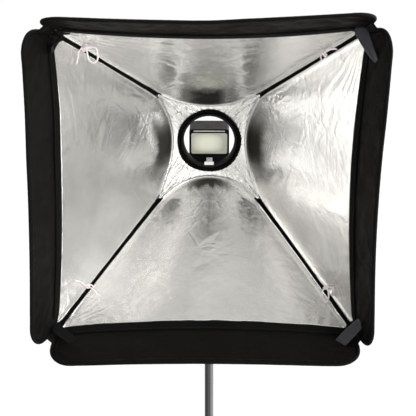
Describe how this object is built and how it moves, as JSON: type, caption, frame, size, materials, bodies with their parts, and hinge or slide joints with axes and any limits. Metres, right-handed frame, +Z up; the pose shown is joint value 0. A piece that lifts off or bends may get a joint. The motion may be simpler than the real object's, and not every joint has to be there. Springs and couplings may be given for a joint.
{
  "type": "softbox",
  "caption": "Square pop-up softbox, silver inside and black outside, on a speed ring and tilting bracket with a battery flash, on a light stand's top tube.",
  "frame": {"origin": "centre of the stand tube's lower end", "axes": "+Z up along the stand tube; the softbox opens toward -Y; +X to the right seen from the front"},
  "size_m": [0.5966, 0.5426, 0.9383],
  "materials": {
    "silver_laminate": "silver laminated nylon, black on the outside",
    "black_nylon": "woven nylon",
    "loop_tape": "matte loop tape",
    "spring_steel": "blued spring steel",
    "binding_webbing": "ribbed binding tape",
    "elastic_strap": "shiny woven elastic",
    "elastic_cord": "braided elastic cord",
    "ring_paint": "satin black",
    "bright_steel": "bright plated",
    "bracket_paint": "satin black powder coat",
    "zinc_steel": "zinc plated",
    "black_plastic": "moulded, light grain",
    "tube_paint": "dark anodised",
    "spigot_steel": "turned steel",
    "flash_plastic": "textured black",
    "sensor_white": "translucent white",
    "lamp_red": "dark red, glossy",
    "display": "grey display behind a clear cover",
    "button_rubber": "soft grey",
    "control_plastic": "fine grain",
    "cell_wrap": "plain shrink wrap",
    "clear_lens": "ribbed clear plastic",
    "reflector_bright": "polished",
    "tube_glass": "clear tube",
    "white_card": "white"
  },
  "bodies": {
    "stand": {"stand_tube": "tube_paint", "stand_spigot": "spigot_steel"},
    "socket": {"stand_socket": "bracket_paint", "tilt_pivot_bolt": "zinc_steel"},
    "stand_knob": {"stand_clamp_knob": "black_plastic"},
    "lever": {"tilt_lever": "black_plastic"},
    "bracket": {"l_bracket": "bracket_paint", "tilt_head": "bracket_paint", "arm_screw": "zinc_steel", "ring_screws": "zinc_steel", "speed_ring": "ring_paint", "hem_catch": "bright_steel"},
    "softbox": {"rear_fabric": "silver_laminate", "collar_hem": "binding_webbing"},
    "side_top": {"panel_top": "silver_laminate", "front_lip_top": "black_nylon", "diffuser_tape_top": "loop_tape", "spring_hoop_top": "spring_steel", "edge_binding_top": "binding_webbing", "corner_straps_top": "elastic_strap", "baffle_cords_top": "elastic_cord"},
    "side_right": {"panel_right": "silver_laminate", "front_lip_right": "black_nylon", "diffuser_tape_right": "loop_tape", "spring_hoop_right": "spring_steel", "edge_binding_right": "binding_webbing"},
    "side_bottom": {"panel_bottom": "silver_laminate", "front_lip_bottom": "black_nylon", "diffuser_tape_bottom": "loop_tape", "spring_hoop_bottom": "spring_steel", "edge_binding_bottom": "binding_webbing", "corner_straps_bottom": "elastic_strap", "baffle_cords_bottom": "elastic_cord"},
    "side_left": {"panel_left": "silver_laminate", "front_lip_left": "black_nylon", "diffuser_tape_left": "loop_tape", "spring_hoop_left": "spring_steel", "edge_binding_left": "binding_webbing"},
    "shoe": {"cold_shoe": "bracket_paint"},
    "shoe_screw": {"shoe_thumb_screw": "black_plastic"},
    "flash": {"flash_body": "flash_plastic", "sensor_window": "sensor_white", "focus_lamp_window": "lamp_red", "display_window": "display", "battery_cells": "cell_wrap", "flash_foot": "zinc_steel"},
    "foot_wheel": {"foot_lock_wheel": "black_plastic"},
    "door": {"battery_door": "flash_plastic"},
    "mode": {"button_mode": "button_rubber"},
    "zoom": {"button_zoom": "button_rubber"},
    "test": {"button_test": "button_rubber"},
    "dial": {"select_dial": "control_plastic"},
    "switch": {"power_switch": "control_plastic"},
    "neck": {"swivel_neck": "flash_plastic"},
    "head": {"flash_head": "flash_plastic", "fresnel_lens": "clear_lens", "flash_reflector": "reflector_bright", "xenon_tube": "tube_glass"},
    "card": {"bounce_card": "white_card"},
    "wide": {"wide_panel": "clear_lens"}
  },
  "joints": [
    {"name": "stand_pan", "type": "hinge", "parent": "stand", "child": "socket", "pos_m": [0, 0, 0.441], "axis": [0, 0, 1], "continuous": true},
    {"name": "stand_clamp_turn", "type": "hinge", "parent": "socket", "child": "stand_knob", "pos_m": [-0.03, 0, 0.441], "axis": [1, 0, 0], "range_deg": [-360, 90]},
    {"name": "tilt_lever_turn", "type": "hinge", "parent": "socket", "child": "lever", "pos_m": [0.022, 0, 0.478], "axis": [1, 0, 0], "range_deg": [-45, 45]},
    {"name": "bracket_tilt", "type": "hinge", "parent": "socket", "child": "bracket", "pos_m": [0, 0, 0.478], "axis": [1, 0, 0], "range_deg": [-75, 60]},
    {"name": "softbox_release", "type": "slide", "parent": "bracket", "child": "softbox", "axis": [0, -1, 0], "range_m": [0, 0.15]},
    {"name": "fold_top", "type": "hinge", "parent": "softbox", "child": "side_top", "pos_m": [0, 0.0606, 0.64], "axis": [0.2876, -0.6328, 0.7189], "range_deg": [0, 43.2], "deforming": ["panel_top", "front_lip_top", "diffuser_tape_top", "spring_hoop_top", "edge_binding_top", "corner_straps_top", "baffle_cords_top"]},
    {"name": "fold_right", "type": "hinge", "parent": "softbox", "child": "side_right", "pos_m": [0, 0.0606, 0.64], "axis": [0.7189, -0.6328, 0.2876], "range_deg": [-43.2, 0], "deforming": ["panel_right", "front_lip_right", "diffuser_tape_right", "spring_hoop_right", "edge_binding_right"]},
    {"name": "fold_bottom", "type": "hinge", "parent": "softbox", "child": "side_bottom", "pos_m": [0, 0.0606, 0.64], "axis": [-0.2876, -0.6328, -0.7189], "range_deg": [0, 43.2], "deforming": ["panel_bottom", "front_lip_bottom", "diffuser_tape_bottom", "spring_hoop_bottom", "edge_binding_bottom", "corner_straps_bottom", "baffle_cords_bottom"]},
    {"name": "fold_left", "type": "hinge", "parent": "softbox", "child": "side_left", "pos_m": [0, 0.0606, 0.64], "axis": [-0.7189, -0.6328, -0.2876], "range_deg": [-43.2, 0], "deforming": ["panel_left", "front_lip_left", "diffuser_tape_left", "spring_hoop_left", "edge_binding_left"]},
    {"name": "shoe_slide", "type": "slide", "parent": "bracket", "child": "shoe", "axis": [0, 1, 0], "range_m": [0, 0.02]},
    {"name": "shoe_screw_turn", "type": "hinge", "parent": "shoe", "child": "shoe_screw", "pos_m": [0, 0.045, 0.495], "axis": [0, 0, 1], "range_deg": [-360, 90]},
    {"name": "foot_slide", "type": "slide", "parent": "shoe", "child": "flash", "axis": [0, 1, 0], "range_m": [0, 0.03]},
    {"name": "foot_wheel_turn", "type": "hinge", "parent": "flash", "child": "foot_wheel", "pos_m": [0, 0.045, 0.517], "axis": [0, 0, 1], "range_deg": [0, 270]},
    {"name": "battery_door_hinge", "type": "hinge", "parent": "flash", "child": "door", "pos_m": [0.0369, 0.064, 0.555], "axis": [0, 0, 1], "range_deg": [0, 100]},
    {"name": "mode_press", "type": "slide", "parent": "flash", "child": "mode", "axis": [0, -1, 0], "range_m": [0, 0.001]},
    {"name": "zoom_press", "type": "slide", "parent": "flash", "child": "zoom", "axis": [0, -1, 0], "range_m": [0, 0.001]},
    {"name": "test_press", "type": "slide", "parent": "flash", "child": "test", "axis": [0, -1, 0], "range_m": [0, 0.001]},
    {"name": "dial_turn", "type": "hinge", "parent": "flash", "child": "dial", "pos_m": [0, 0.073, 0.535], "axis": [0, -1, 0], "continuous": true},
    {"name": "switch_slide", "type": "slide", "parent": "flash", "child": "switch", "axis": [1, 0, 0], "range_m": [0, 0.0042]},
    {"name": "flash_swivel", "type": "hinge", "parent": "flash", "child": "neck", "pos_m": [0, 0.045, 0.595], "axis": [0, 0, 1], "range_deg": [-180, 180]},
    {"name": "head_tilt", "type": "hinge", "parent": "neck", "child": "head", "pos_m": [0, 0.057, 0.607], "axis": [-1, 0, 0], "range_deg": [0, 90]},
    {"name": "bounce_card_slide", "type": "slide", "parent": "head", "child": "card", "axis": [0, -1, 0], "range_m": [0, 0.045]},
    {"name": "wide_panel_slide", "type": "slide", "parent": "head", "child": "wide", "axis": [0, -1, 0], "range_m": [0, 0.045]}
  ],
  "couplings": [
    {"joint": "fold_right", "follows": "fold_top", "ratio": -1},
    {"joint": "fold_bottom", "follows": "fold_top", "ratio": 1},
    {"joint": "fold_left", "follows": "fold_top", "ratio": -1}
  ]
}
